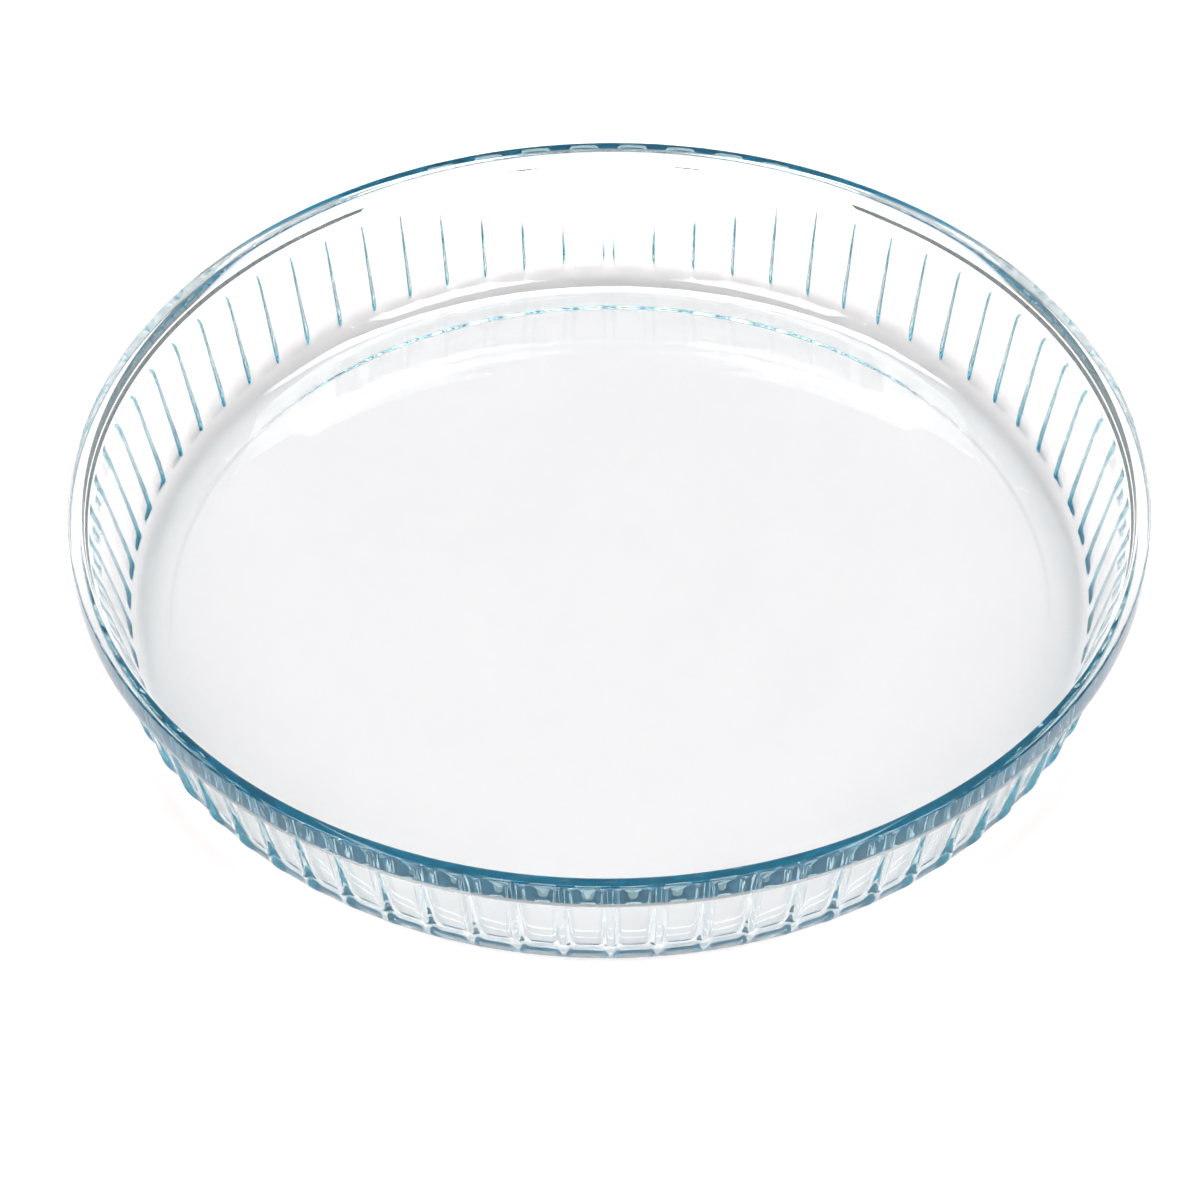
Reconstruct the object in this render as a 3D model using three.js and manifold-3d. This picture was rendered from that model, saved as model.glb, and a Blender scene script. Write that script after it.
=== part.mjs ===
// Round fluted flan dish, pressed in one piece from clear glass.
// Millimetres, +Z up. The origin is the middle of the face that the dish stands on.
import * as THREE from "three";
import { mergeVertices } from "three/addons/utils/BufferGeometryUtils.js";
import Module from "manifold-3d";

// Overall sizes
const rimDiameter = 280;
const dishHeight = 42.6;
const baseDiameter = 258.7; // the ridge line carried down to the standing face
const floorThickness = 4;

// Collar: the plain band under the rim
const collarHeight = 7.2;
const collarOverhang = 2.6; // how far the band stands out from the ridge line
const rimLandWidth = 3.6;
const rimLandDrop = 0.5; // the rim's top falls slightly inwards

// Inside: a smooth wall that leans out slightly more than the ridges, and opens further just below the rim
const innerExtraLean = 1.08874; // beyond the ridge line's lean, in degrees
const lipFlareAngle = 7.7; // beyond the inner wall's lean, in degrees
const lipFlareHeight = 10;

// Rounded edges
const heelRadius = 9.9;
const collarRootRadius = 0.6;
const collarEdgeRadius = 0.4;
const rimOuterRadius = 0.8;
const rimInnerRadius = 0.8;
const lipFlareRadius = 20;
const floorFilletRadius = 9;

// Flutes: flat-floored grooves in the outer wall, which deepen downwards and run out on the round heel
const flutePitch = 11.28; // along the base circle
const ridgeWidth = 1.4;
const fluteDepthAtFoot = 1.2;
const fluteDepthAtHead = 0.55;
const fluteFlankAngle = 38; // between a groove's sloping side and the wall, in degrees
const fluteHeadGap = 0.3; // from the upper end to the underside of the collar
const fluteMouthMargin = 0.5; // how far a cutter stands out of the wall

// Facets
const arcTolerance = 0.1; // how far a chord may lie from its arc

const glassColour = 0xdcecef;

const rimRadius = rimDiameter / 2;
const baseRadius = baseDiameter / 2;
const collarFoot = dishHeight - collarHeight;
const ridgeTopRadius = rimRadius - collarOverhang;
const wallLean = Math.atan2(ridgeTopRadius - baseRadius, collarFoot);
const innerLean = wallLean + THREE.MathUtils.degToRad(innerExtraLean);
const lipFlareLean = innerLean + THREE.MathUtils.degToRad(lipFlareAngle);
const fluteCount = Math.round((Math.PI * baseDiameter) / flutePitch);
const fluteWidth = flutePitch - ridgeWidth;

// Where the rim's outer side and its sloping top would meet, if the edge between them were sharp
const rimSlope = Math.atan2(rimLandDrop, rimLandWidth);
const rimCornerHeight = dishHeight + rimOuterRadius * (Math.tan(rimSlope) + 1 / Math.cos(rimSlope) - 1);

const wasm = await Module();
wasm.setup();

// The lip at the inner edge of the rim, the foot of its flare, and the inner wall below that.
const lip = new THREE.Vector2(rimRadius - rimLandWidth, rimCornerHeight - rimLandDrop);
const flareFoot = lip
  .clone()
  .sub(new THREE.Vector2(lipFlareHeight * Math.tan(lipFlareLean), lipFlareHeight));

function innerRadiusAt(height) {
  return flareFoot.x - (flareFoot.y - height) * Math.tan(innerLean);
}

// One corner of an outline as an arc of the given radius between its two sides.
function roundedCorner(before, corner, after, radius) {
  const inward = before.clone().sub(corner).normalize();
  const outward = after.clone().sub(corner).normalize();
  const halfAngle = Math.acos(THREE.MathUtils.clamp(inward.dot(outward), -1, 1)) / 2;
  const bisector = inward.clone().add(outward).normalize();
  const centre = corner.clone().addScaledVector(bisector, radius / Math.sin(halfAngle));
  const tangentLength = radius / Math.tan(halfAngle);
  const start = corner.clone().addScaledVector(inward, tangentLength).sub(centre);
  const end = corner.clone().addScaledVector(outward, tangentLength).sub(centre);
  const sweep = Math.atan2(start.cross(end), start.dot(end));
  const widestStep = 2 * Math.acos(1 - arcTolerance / radius);
  const steps = Math.ceil(Math.abs(sweep) / widestStep);
  const points = [];
  for (let step = 0; step <= steps; step++) {
    const turned = start.clone().rotateAround(new THREE.Vector2(), (sweep * step) / steps);
    points.push(turned.add(centre));
  }
  return points;
}

// Half section of the dish, from the middle of the underside round to the middle of the floor.
function dishSection() {
  const corners = [
    [0, 0, 0],
    [baseRadius, 0, heelRadius],
    [ridgeTopRadius, collarFoot, collarRootRadius],
    [rimRadius, collarFoot, collarEdgeRadius],
    [rimRadius, rimCornerHeight, rimOuterRadius],
    [lip.x, lip.y, rimInnerRadius],
    [flareFoot.x, flareFoot.y, lipFlareRadius],
    [innerRadiusAt(floorThickness), floorThickness, floorFilletRadius],
    [0, floorThickness, 0],
  ];
  const at = corners.map(([radius, height]) => new THREE.Vector2(radius, height));
  return corners.flatMap(([, , radius], i) =>
    radius > 0 ? roundedCorner(at[i - 1], at[i], at[i + 1], radius) : [at[i]],
  );
}

// A closed geometry as a solid that can be joined and cut.
function solidFrom(geometry) {
  geometry.deleteAttribute("normal");
  geometry.deleteAttribute("uv");
  const merged = mergeVertices(geometry, 1e-4);
  const mesh = new wasm.Mesh({
    numProp: 3,
    vertProperties: merged.attributes.position.array,
    triVerts: new Uint32Array(merged.index.array),
  });
  return new wasm.Manifold(mesh);
}

function geometryFrom(solid) {
  const mesh = solid.getMesh();
  const geometry = new THREE.BufferGeometry();
  geometry.setAttribute("position", new THREE.BufferAttribute(mesh.vertProperties, 3));
  geometry.setIndex(new THREE.BufferAttribute(mesh.triVerts, 1));
  geometry.computeVertexNormals();
  return geometry;
}

// The plain dish, revolved with one facet for each flute, so that each ridge has a corner on it.
function plainDish() {
  const geometry = new THREE.LatheGeometry(dishSection(), fluteCount);
  geometry.rotateX(Math.PI / 2);
  return solidFrom(geometry);
}

// One cutter at the front: a loft from the groove's flat floor out to its wider mouth in front of the wall.
function fluteCutter() {
  const up = new THREE.Vector3(0, -Math.sin(wallLean), Math.cos(wallLean));
  const out = new THREE.Vector3(0, -Math.cos(wallLean), -Math.sin(wallLean));
  const wallLength = collarFoot / Math.cos(wallLean);
  const flankSlope = Math.tan(THREE.MathUtils.degToRad(fluteFlankAngle));
  const corners = [];
  const addEnd = (along, depth) => {
    for (const height of [-depth, fluteMouthMargin]) {
      const half = fluteWidth / 2 + height / flankSlope;
      for (const side of [-half, half]) {
        const corner = new THREE.Vector3(side, -baseRadius, 0);
        corners.push(corner.addScaledVector(up, along).addScaledVector(out, height).toArray());
      }
    }
  };
  addEnd(0, fluteDepthAtFoot);
  addEnd(wallLength, fluteDepthAtHead);
  return wasm.Manifold.hull(corners).trimByPlane([0, 0, -1], fluteHeadGap - collarFoot);
}

function allFlutes() {
  const cutter = fluteCutter();
  const flutes = [];
  for (let flute = 0; flute < fluteCount; flute++) {
    flutes.push(cutter.rotate([0, 0, ((flute + 0.5) * 360) / fluteCount]));
  }
  return wasm.Manifold.union(flutes);
}

const clearGlass = new THREE.MeshStandardMaterial({
  color: glassColour,
  roughness: 0.04,
  metalness: 0,
  transparent: true,
  opacity: 0.45,
});

const dish = new THREE.Mesh(geometryFrom(plainDish().subtract(allFlutes())), clearGlass);
dish.name = "fluted_dish";

const flanDish = new THREE.Group();
flanDish.name = "flan_dish";
flanDish.add(dish);

export default flanDish;
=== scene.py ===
import math
import bpy
from mathutils import Matrix, Vector


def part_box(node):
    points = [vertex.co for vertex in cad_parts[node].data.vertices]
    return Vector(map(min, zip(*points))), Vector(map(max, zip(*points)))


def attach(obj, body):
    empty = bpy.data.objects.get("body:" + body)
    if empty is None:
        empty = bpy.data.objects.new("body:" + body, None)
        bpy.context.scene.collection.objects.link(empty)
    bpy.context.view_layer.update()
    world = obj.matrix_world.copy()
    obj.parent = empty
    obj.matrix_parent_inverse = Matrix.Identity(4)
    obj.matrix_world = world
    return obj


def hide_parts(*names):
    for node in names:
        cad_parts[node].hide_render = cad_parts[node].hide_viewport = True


# Round fluted flan dish in clear pressed glass, dressed for one studio picture.
# Metres, +Z up, the dish stands in the middle of the table.
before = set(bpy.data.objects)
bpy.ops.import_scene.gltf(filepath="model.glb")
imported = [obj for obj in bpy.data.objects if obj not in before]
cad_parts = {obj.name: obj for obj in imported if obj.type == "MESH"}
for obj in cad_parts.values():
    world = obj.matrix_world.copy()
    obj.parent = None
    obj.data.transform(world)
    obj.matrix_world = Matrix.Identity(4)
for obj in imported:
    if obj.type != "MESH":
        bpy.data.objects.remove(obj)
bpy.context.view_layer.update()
lowCorner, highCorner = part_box("fluted_dish")

# The dish, one pressing: what a maker would change
dish = {
    "rimRadius": (highCorner.x - lowCorner.x) / 2,
    "height": highCorner.z,
    "baseRadius": 0.12935,  # ridge line carried down to the table
    "innerLean": 13.9,  # degrees the smooth inner wall leans out
    "flareLean": 21.6,  # degrees the inside leans out just below the rim
    "flareHeight": 0.010,
    "floorTop": 0.004,  # height of the inside floor
    "hollowDepth": 0.0006,  # shallow hollow under the floor, so the dish stands on a ring
    "hollowRadius": 0.1146,
    "hollowSlope": 0.0031,
    "collarHeight": 0.0072,
    "collarOverhang": 0.0026,
    "rimLandWidth": 0.0036,
    "rimLandDrop": 0.0005,  # the rim's top falls slightly inwards
    "heelRadius": 0.0125,
    "collarRootRadius": 0.0006,
    "collarEdgeRadius": 0.0004,
    "rimOuterRadius": 0.0003,  # at both sides of the narrow flat
    "rimBevelWidth": 0.0005,  # narrow flat along the rim's outer edge, which catches the light
    "rimBevelLean": 18,  # degrees the flat leans out from level
    "rimInnerRadius": 0.0008,
    "flareRadius": 0.02,
    "floorFilletRadius": 0.009,
}

# The flutes pressed into the outer wall
flutes = {
    "count": 72,
    "ridgeWidth": 0.0014,
    "depthLow": 0.0014,
    "depthHigh": 0.00045,
    "flankWidth": 0.0014,  # from the ridge down to the flat of the flute, at the deep end
    "flankFoot": 0.3,  # how softly the flank meets the flat
    "hollow": 0.0001,  # the flat is very slightly dished
    "headGap": 0.0003,  # from the upper end to the collar
    "headCorner": 0.0035,
    "headRamp": 0.0008,
    "ridgeSoftness": 0.00025,
    "softReach": 6,  # how many times the softness a rounded ridge reaches
}

# How finely the skin is drawn
skin = {
    "samples": 18,  # points across one flute
    "crowding": 0.55,  # samples crowd towards the ridges
    "plainStep": 3,  # plain rings take every third of them
    "middleStep": 18,  # rings near the middle take one for each flute
    "middleShares": (0.1, 0.4),
    "outerShares": (0.8, 0.97),
    "hollowSteps": 5,
    "innerWallSteps": 8,
    "heelSteps": 24,
    "filletSteps": 16,
    "edgeSteps": 8,
    "smallSteps": 6,
    "lowRows": 10,  # rows over the lowest part of the flutes
    "lowShare": 0.3,
    "middleRows": 7,
    "headRows": 15,  # close rows round the upper ends
    "headBelow": 0.005,
    "headSpan": 0.0054,
}


def roundedCorner(before, corner, after, radius, steps):
    toBefore = (before - corner).normalized()
    toAfter = (after - corner).normalized()
    half = toBefore.angle(toAfter) / 2
    middle = (toBefore + toAfter).normalized()
    centre = corner + middle * radius / math.sin(half)
    reach = radius / math.tan(half)
    start = corner + toBefore * reach - centre
    end = corner + toAfter * reach - centre
    sweep = math.atan2(start.x * end.y - start.y * end.x, start.dot(end))
    arc = []
    for step in range(steps + 1):
        turn = Matrix.Rotation(sweep * step / steps, 2)
        arc.append(centre + turn @ start)
    return arc


# Corners of the half section, outside first, then the inside
collarFoot = dish["height"] - dish["collarHeight"]
ridgeTop = Vector((dish["rimRadius"] - dish["collarOverhang"], collarFoot))
baseCorner = Vector((dish["baseRadius"], 0))
wallLean = math.atan2(ridgeTop.x - baseCorner.x, collarFoot)
leanCos = math.cos(wallLean)
leanSin = math.sin(wallLean)


def innerWall(height):
    drop = flareFoot.y - height
    return Vector((flareFoot.x - drop * math.tan(math.radians(dish["innerLean"])), height))


rimLow = Vector((dish["rimRadius"], collarFoot))
rimSlope = math.atan2(dish["rimLandDrop"], dish["rimLandWidth"])
bevelDrop = dish["rimBevelWidth"] * math.tan(math.radians(dish["rimBevelLean"]))
bevelLow = Vector((dish["rimRadius"], dish["height"] - bevelDrop))
bevelHigh = Vector((dish["rimRadius"] - dish["rimBevelWidth"], dish["height"]))
landWidth = dish["rimLandWidth"] - dish["rimBevelWidth"]
rimLip = bevelHigh - Vector((landWidth, landWidth * math.tan(rimSlope)))
flareWidth = dish["flareHeight"] * math.tan(math.radians(dish["flareLean"]))
flareFoot = rimLip - Vector((flareWidth, dish["flareHeight"]))
floorCorner = innerWall(dish["floorTop"])
floorMiddle = Vector((0, dish["floorTop"]))
baseMiddle = Vector((0, 0))

heelArc = roundedCorner(baseMiddle, baseCorner, ridgeTop, dish["heelRadius"], skin["heelSteps"])
rootArc = roundedCorner(baseCorner, ridgeTop, rimLow, dish["collarRootRadius"], skin["smallSteps"])
collarLowArc = roundedCorner(ridgeTop, rimLow, bevelLow, dish["collarEdgeRadius"], skin["edgeSteps"])
bevelLowArc = roundedCorner(rimLow, bevelLow, bevelHigh, dish["rimOuterRadius"], skin["smallSteps"])
bevelHighArc = roundedCorner(bevelLow, bevelHigh, rimLip, dish["rimOuterRadius"], skin["smallSteps"])
lipArc = roundedCorner(bevelHigh, rimLip, flareFoot, dish["rimInnerRadius"], skin["edgeSteps"])
flareArc = roundedCorner(rimLip, flareFoot, floorCorner, dish["flareRadius"], skin["smallSteps"])
filletRadius = dish["floorFilletRadius"]
filletArc = roundedCorner(flareFoot, floorCorner, floorMiddle, filletRadius, skin["filletSteps"])

wallFoot = heelArc[-1]
wallHead = rootArc[0]
wallLength = (wallHead - wallFoot).length
headAlong = wallLength - flutes["headGap"] / leanCos
pitch = 2 * math.pi * dish["baseRadius"] / flutes["count"]
fluteHalf = (pitch - flutes["ridgeWidth"]) / 2


# Share of the full depth at a distance in from the ridge
def flankShare(inset, width):
    u = inset / width
    foot = flutes["flankFoot"]
    return 1 - 0.5 * ((1 - u) + math.sqrt((1 - u) ** 2 + foot ** 2)) + 0.5 * foot * foot


def fluteDepth(across, along):
    rise = min(1, max(0, along / headAlong))
    depth = flutes["depthLow"] * (1 - rise) + flutes["depthHigh"] * rise
    flank = flutes["flankWidth"] * depth / flutes["depthLow"]
    inset = fluteHalf - abs(across)
    toHead = headAlong - along
    corner = flutes["headCorner"]
    if toHead < corner and inset < corner:  # round shoulders at the upper end
        inset = corner - math.hypot(corner - max(inset, -corner), corner - max(toHead, -corner))
    share = flankShare(inset, flank)
    share = min(share, flankShare(toHead, flutes["headRamp"]))
    dished = flutes["hollow"] * (1 - (across / fluteHalf) ** 2)
    return depth * share + dished


def fluteDip(across, along, gap):
    excess = fluteDepth(across, along) - gap  # gap: how far the heel has curved away already
    soft = flutes["ridgeSoftness"]
    if excess < -flutes["softReach"] * soft:
        return 0
    return 0.5 * (excess + math.sqrt(excess * excess + soft * soft))


# Rings of points, joined into one closed skin
points = []
faces = []

fluteTurns = []
for flute in range(flutes["count"]):
    for sample in range(skin["samples"]):
        share = sample / skin["samples"]
        share -= skin["crowding"] * math.sin(2 * math.pi * share) / (2 * math.pi)
        fluteTurns.append((2 * math.pi * (flute + share) / flutes["count"], share))


def plainRing(radius, height, step=skin["plainStep"]):
    first = len(points)
    for turn, share in fluteTurns[::step]:
        points.append((radius * math.sin(turn), -radius * math.cos(turn), height))
    return first, len(fluteTurns) // step


def flutedRing(radius, height, along, gap=0):
    first = len(points)
    for turn, share in fluteTurns:
        across = (share - 0.5) * 2 * math.pi / flutes["count"] * radius
        dip = fluteDip(across, along, gap)
        reach = radius - dip * leanCos
        points.append((reach * math.sin(turn), -reach * math.cos(turn), height + dip * leanSin))
    return first, len(fluteTurns)


def joinRings(lower, upper):
    firstLow, lowCount = lower
    firstHigh, highCount = upper
    if lowCount == highCount:
        for i in range(lowCount):
            j = (i + 1) % lowCount
            faces.append((firstLow + i, firstLow + j, firstHigh + j, firstHigh + i))
        return
    lowIsFine = lowCount > highCount
    fineFirst, fineCount = lower if lowIsFine else upper
    coarseFirst, coarseCount = upper if lowIsFine else lower
    ratio = fineCount // coarseCount
    for i in range(coarseCount):
        j = (i + 1) % coarseCount
        chain = [fineFirst + (i * ratio + k) % fineCount for k in range(ratio + 1)]
        fan = []
        for k in range(ratio):
            corner = i if k < ratio // 2 else j
            fan.append((chain[k], chain[k + 1], coarseFirst + corner))
        fan.append((chain[ratio // 2], coarseFirst + j, coarseFirst + i))
        faces.extend(fan if lowIsFine else [face[::-1] for face in fan])


def capRing(ringSpan, height, upward):
    first, count = ringSpan
    middle = len(points)
    points.append((0, 0, height))
    for i in range(count):
        j = (i + 1) % count
        faces.append((middle, first + i, first + j) if upward else (middle, first + j, first + i))


# Distances up the wall at which the flutes are drawn
def flutedRows():
    lowEnd = wallLength * skin["lowShare"]
    headStart = headAlong - skin["headBelow"]
    rows = []
    for step in range(1, skin["lowRows"]):
        rows.append(lowEnd * step / skin["lowRows"])
    for step in range(skin["middleRows"]):
        rows.append(lowEnd + (headStart - lowEnd) * step / skin["middleRows"])
    for step in range(skin["headRows"]):
        rows.append(headStart + skin["headSpan"] * step / skin["headRows"])
    return rows


# Flat rings from the middle outwards, coarse at first
def flatRings(radius, height):
    rings = [plainRing(radius * share, height, skin["middleStep"]) for share in skin["middleShares"]]
    rings += [plainRing(radius * share, height) for share in skin["outerShares"]]
    return rings


def makeDishSkin():
    rings = flatRings(dish["hollowRadius"], dish["hollowDepth"])
    for step in range(skin["hollowSteps"] + 1):
        share = step / skin["hollowSteps"]
        rise = 0.5 + 0.5 * math.cos(math.pi * share)
        radius = dish["hollowRadius"] + dish["hollowSlope"] * share
        rings.append(plainRing(radius, dish["hollowDepth"] * rise))
    deepest = max(flutes["depthLow"], flutes["depthHigh"]) + flutes["hollow"]
    for p in heelArc:
        fromWall = p - wallFoot
        gap = -fromWall.x * leanCos + fromWall.y * leanSin
        along = fromWall.x * leanSin + fromWall.y * leanCos
        if gap < deepest + flutes["softReach"] * flutes["ridgeSoftness"]:
            rings.append(flutedRing(p.x, p.y, along, gap))
        else:
            rings.append(plainRing(p.x, p.y))
    for along in flutedRows():
        p = wallFoot.lerp(wallHead, along / wallLength)
        rings.append(flutedRing(p.x, p.y, along))
    for p in rootArc + collarLowArc + bevelLowArc + bevelHighArc + lipArc + flareArc:
        rings.append(plainRing(p.x, p.y))
    for step in range(1, skin["innerWallSteps"]):
        p = flareArc[-1].lerp(filletArc[0], step / skin["innerWallSteps"])
        rings.append(plainRing(p.x, p.y))
    for p in filletArc:
        rings.append(plainRing(p.x, p.y))
    rings += flatRings(filletArc[-1].x, dish["floorTop"])[::-1]
    for lower, upper in zip(rings, rings[1:]):
        joinRings(lower, upper)
    capRing(rings[0], dish["hollowDepth"], False)
    capRing(rings[-1], dish["floorTop"], True)


makeDishSkin()
dishMesh = bpy.data.meshes.new("fluted_glass_dish")
dishMesh.from_pydata(points, [], faces)
dishMesh.validate()
dishMesh.shade_smooth()
dishPiece = bpy.data.objects.new("fluted_glass_dish", dishMesh)
bpy.context.scene.collection.objects.link(dishPiece)
print("dish skin:", len(dishMesh.vertices), "points,", len(dishMesh.polygons), "faces")

# Clear oven glass: its blue-green shows only where light runs a long way inside it
clearGlass = {
    "ior": 1.473,
    "tint": (0.25, 0.71, 0.79),
    "density": 20,  # how strongly the tint grows with the light's way
    "polish": 0.0,  # roughness of the clean fire-polished surface
    "speckRoughness": 0.25,
    "speckScale": 420,
    "speckShare": 0.035,  # radius of a speck in its cell
    "speckFade": 2,  # a speck has faded out at this many radii
    "waveScale": 55,
    "waveHeight": 0.00002,
}


def clearGlassMaterial():
    material = bpy.data.materials.new("clear_oven_glass")
    material.use_nodes = True
    nodes = material.node_tree.nodes
    links = material.node_tree.links
    shader = nodes["Principled BSDF"]
    shader.inputs["Base Color"].default_value = (1, 1, 1, 1)
    shader.inputs["Transmission Weight"].default_value = 1
    shader.inputs["IOR"].default_value = clearGlass["ior"]
    place = nodes.new("ShaderNodeTexCoord")
    specks = nodes.new("ShaderNodeTexVoronoi")  # dust and tiny pits
    specks.inputs["Scale"].default_value = clearGlass["speckScale"]
    speckEdge = nodes.new("ShaderNodeMapRange")
    speckEdge.inputs["From Min"].default_value = clearGlass["speckShare"]
    speckEdge.inputs["From Max"].default_value = clearGlass["speckShare"] * clearGlass["speckFade"]
    speckEdge.inputs["To Min"].default_value = clearGlass["speckRoughness"]
    speckEdge.inputs["To Max"].default_value = clearGlass["polish"]
    links.new(place.outputs["Object"], specks.inputs["Vector"])
    links.new(specks.outputs["Distance"], speckEdge.inputs["Value"])
    links.new(speckEdge.outputs["Result"], shader.inputs["Roughness"])
    waves = nodes.new("ShaderNodeTexNoise")  # faint waviness of pressed glass
    waves.inputs["Scale"].default_value = clearGlass["waveScale"]
    waves.inputs["Detail"].default_value = 1
    bump = nodes.new("ShaderNodeBump")
    bump.inputs["Distance"].default_value = clearGlass["waveHeight"]
    links.new(place.outputs["Object"], waves.inputs["Vector"])
    links.new(waves.outputs["Fac"], bump.inputs["Height"])
    links.new(bump.outputs["Normal"], shader.inputs["Normal"])
    absorption = nodes.new("ShaderNodeVolumeAbsorption")
    absorption.inputs["Color"].default_value = (*clearGlass["tint"], 1)
    absorption.inputs["Density"].default_value = clearGlass["density"]
    links.new(absorption.outputs["Volume"], nodes["Material Output"].inputs["Volume"])
    return material


dishMesh.materials.append(clearGlassMaterial())
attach(dishPiece, "root")
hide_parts("fluted_dish")
print("dish: one pressing with", flutes["count"], "flutes")

# Plain white table
table = {
    "half": 4.0,
    "drop": 0.0001,  # air under the dish
    "colour": (0.95, 0.873, 0.869),
    "lift": 0.16,  # what the camera sees of the table is raised to white by this much
    "grainScale": 900,
    "grainHeight": 0.00002,
}


def addPaperGrain(nodes, links, matt):
    place = nodes.new("ShaderNodeTexCoord")
    grain = nodes.new("ShaderNodeTexNoise")
    grain.inputs["Scale"].default_value = table["grainScale"]
    bump = nodes.new("ShaderNodeBump")
    bump.inputs["Distance"].default_value = table["grainHeight"]
    links.new(place.outputs["Object"], grain.inputs["Vector"])
    links.new(grain.outputs["Fac"], bump.inputs["Height"])
    links.new(bump.outputs["Normal"], matt.inputs["Normal"])


def tableMaterial():
    material = bpy.data.materials.new("white_table")
    material.use_nodes = True
    nodes = material.node_tree.nodes
    links = material.node_tree.links
    nodes.clear()
    output = nodes.new("ShaderNodeOutputMaterial")
    matt = nodes.new("ShaderNodeBsdfDiffuse")
    matt.inputs["Color"].default_value = (*table["colour"], 1)
    addPaperGrain(nodes, links, matt)
    glow = nodes.new("ShaderNodeEmission")
    glow.inputs["Color"].default_value = (1, 1, 1, 1)
    lightPath = nodes.new("ShaderNodeLightPath")
    lift = nodes.new("ShaderNodeMath")
    lift.operation = "MULTIPLY"
    lift.inputs[1].default_value = table["lift"]
    both = nodes.new("ShaderNodeAddShader")
    links.new(lightPath.outputs["Is Camera Ray"], lift.inputs[0])
    links.new(lift.outputs["Value"], glow.inputs["Strength"])
    links.new(matt.outputs["BSDF"], both.inputs[0])
    links.new(glow.outputs["Emission"], both.inputs[1])
    links.new(both.outputs["Shader"], output.inputs["Surface"])
    return material


half = table["half"]
tableMesh = bpy.data.meshes.new("white_table")
tableMesh.from_pydata([
    (-half, -half, 0),
    (half, -half, 0),
    (half, half, 0),
    (-half, half, 0),
], [], [(0, 1, 2, 3)])
tableMesh.materials.append(tableMaterial())
tablePiece = bpy.data.objects.new("white_table", tableMesh)
tablePiece.location.z = -table["drop"]
bpy.context.scene.collection.objects.link(tablePiece)
print("table: plain and white")

# White backdrop well behind the dish, which the glass shows too
backdrop = {
    "behind": 1.2,
    "halfWidth": 0.5,
    "low": -0.0001,
    "high": 2.2,
    "brightness": 0.4,
}


def backdropMaterial():
    material = bpy.data.materials.new("white_backdrop")
    material.use_nodes = True
    nodes = material.node_tree.nodes
    links = material.node_tree.links
    nodes.clear()
    output = nodes.new("ShaderNodeOutputMaterial")
    matt = nodes.new("ShaderNodeBsdfDiffuse")
    matt.inputs["Color"].default_value = (*table["colour"], 1)
    addPaperGrain(nodes, links, matt)
    glow = nodes.new("ShaderNodeEmission")
    glow.inputs["Strength"].default_value = backdrop["brightness"]
    lightPath = nodes.new("ShaderNodeLightPath")
    seen = nodes.new("ShaderNodeMath")
    seen.operation = "MAXIMUM"
    seenThrough = nodes.new("ShaderNodeMath")
    seenThrough.operation = "MAXIMUM"
    mix = nodes.new("ShaderNodeMixShader")
    links.new(lightPath.outputs["Is Camera Ray"], seen.inputs[0])
    links.new(lightPath.outputs["Is Glossy Ray"], seen.inputs[1])
    links.new(seen.outputs["Value"], seenThrough.inputs[0])
    links.new(lightPath.outputs["Is Transmission Ray"], seenThrough.inputs[1])
    links.new(seenThrough.outputs["Value"], mix.inputs[0])
    links.new(matt.outputs["BSDF"], mix.inputs[1])
    links.new(glow.outputs["Emission"], mix.inputs[2])
    links.new(mix.outputs["Shader"], output.inputs["Surface"])
    return material


backdropMesh = bpy.data.meshes.new("white_backdrop")
wide = backdrop["halfWidth"]
backdropMesh.from_pydata([
    (-wide, backdrop["behind"], backdrop["low"]),
    (wide, backdrop["behind"], backdrop["low"]),
    (wide, backdrop["behind"], backdrop["high"]),
    (-wide, backdrop["behind"], backdrop["high"]),
], [], [(0, 1, 2, 3)])
backdropMesh.materials.append(backdropMaterial())
backdropPiece = bpy.data.objects.new("white_backdrop", backdropMesh)
bpy.context.scene.collection.objects.link(backdropPiece)
print("backdrop: plain and white")

# Soft studio light: azimuth from the camera's side, height, distance, width, depth, brightness
studio = {
    "leftBox": (-45, 50, 1.3, 0.6, 0.6, 6.1),
    "rightBox": (45, 50, 1.3, 0.6, 0.6, 6.1),
    "overhead": (180, 75, 1.3, 1.2, 0.36, 12),
    "room": 0.25,  # dim light from all round
    "seenRoom": 1,  # white where the camera sees past the table
}


def softBox(name, azimuth, elevation, distance, width, depth, brightness):
    turn = math.radians(azimuth)
    tilt = math.radians(elevation)
    aim = Vector((math.sin(turn) * math.cos(tilt), -math.cos(turn) * math.cos(tilt), math.sin(tilt)))
    lamp = bpy.data.lights.new(name, "AREA")
    lamp.shape = "RECTANGLE"
    lamp.size = width
    lamp.size_y = depth
    lamp.energy = brightness * math.pi * width * depth
    holder = bpy.data.objects.new(name, lamp)
    facing = aim.to_track_quat("Z", "Y").to_matrix().to_4x4()
    holder.matrix_world = Matrix.Translation(aim * distance) @ facing
    bpy.context.scene.collection.objects.link(holder)


for boxName in ("leftBox", "rightBox", "overhead"):
    softBox(boxName, *studio[boxName])

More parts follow.
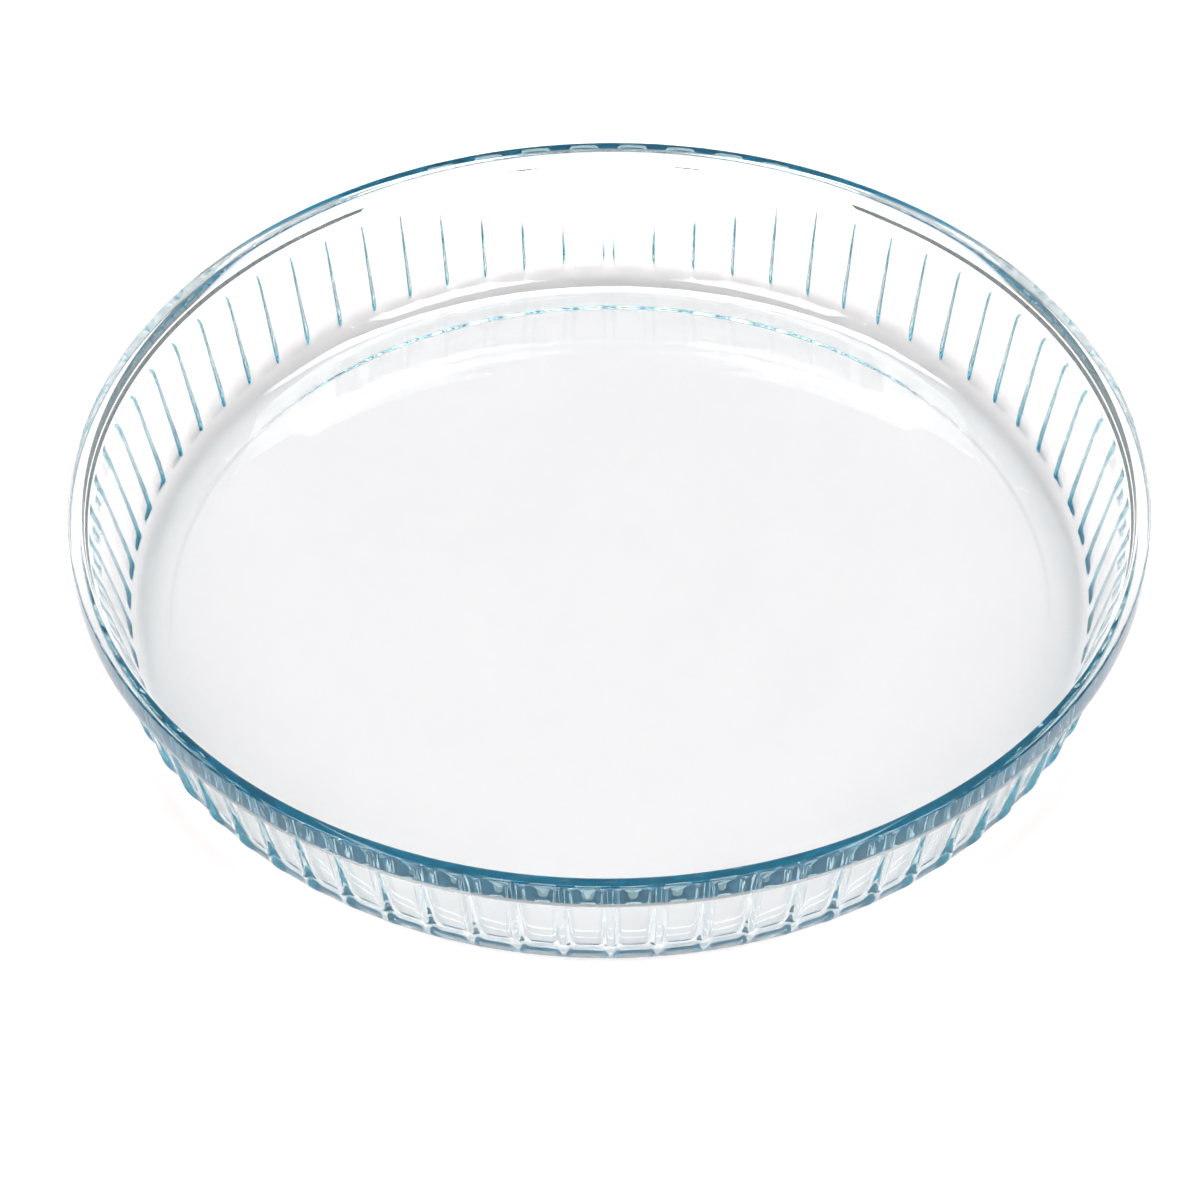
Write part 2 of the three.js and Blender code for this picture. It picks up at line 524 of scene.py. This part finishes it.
room = bpy.data.worlds.new("studio_room")
bpy.context.scene.world = room
room.use_nodes = True
roomShader = room.node_tree.nodes["Background"]
roomShader.inputs["Color"].default_value = (1, 1, 1, 1)
roomPath = room.node_tree.nodes.new("ShaderNodeLightPath")
roomLevel = room.node_tree.nodes.new("ShaderNodeMapRange")
roomLevel.inputs["To Min"].default_value = studio["room"]
roomLevel.inputs["To Max"].default_value = studio["seenRoom"]
room.node_tree.links.new(roomPath.outputs["Is Camera Ray"], roomLevel.inputs["Value"])
room.node_tree.links.new(roomLevel.outputs["Result"], roomShader.inputs["Strength"])
print("light: two side boxes and one overhead")

# Camera at the photograph's place, looking down at the dish
view = {
    "pictureSide": 1200,
    "focalPixels": 4846.744,
    "elevation": 0.7793827743,  # radians, as are the roll and the turn
    "distance": 9.18460037,  # in rim radii
    "roll": -0.0101408243,
    "sideways": 0.01863628,
    "upward": -0.004465466,
    "turn": 0.006467837,
    "filmWidth": 36,
    "farthest": 50,
}


def placeCamera():
    size = dish["rimRadius"]
    back = Vector((0, -math.cos(view["elevation"]), math.sin(view["elevation"])))
    right = Vector((1, 0, 0))
    up = back.cross(right)
    place = (back * view["distance"] - right * view["sideways"] - up * view["upward"]) * size
    facing = Matrix((right, up, back)).transposed() @ Matrix.Rotation(view["roll"], 3, "Z")
    turn = Matrix.Rotation(view["turn"], 3, "Z")
    lens = bpy.data.cameras.new("studio_camera")
    lens.sensor_width = view["filmWidth"]
    lens.lens = view["focalPixels"] / view["pictureSide"] * view["filmWidth"]
    lens.clip_end = view["farthest"]
    camera = bpy.data.objects.new("studio_camera", lens)
    camera.matrix_world = Matrix.Translation(turn @ place) @ (turn @ facing).to_4x4()
    bpy.context.scene.collection.objects.link(camera)
    bpy.context.scene.camera = camera


placeCamera()
bpy.context.scene.view_settings.view_transform = "Standard"
lightBounces = 256  # light runs right across the floor inside the glass
bpy.context.scene.cycles.max_bounces = lightBounces
bpy.context.scene.cycles.transmission_bounces = lightBounces
bpy.context.scene.cycles.glossy_bounces = lightBounces
print("camera: in place")

bpy.context.view_layer.update()
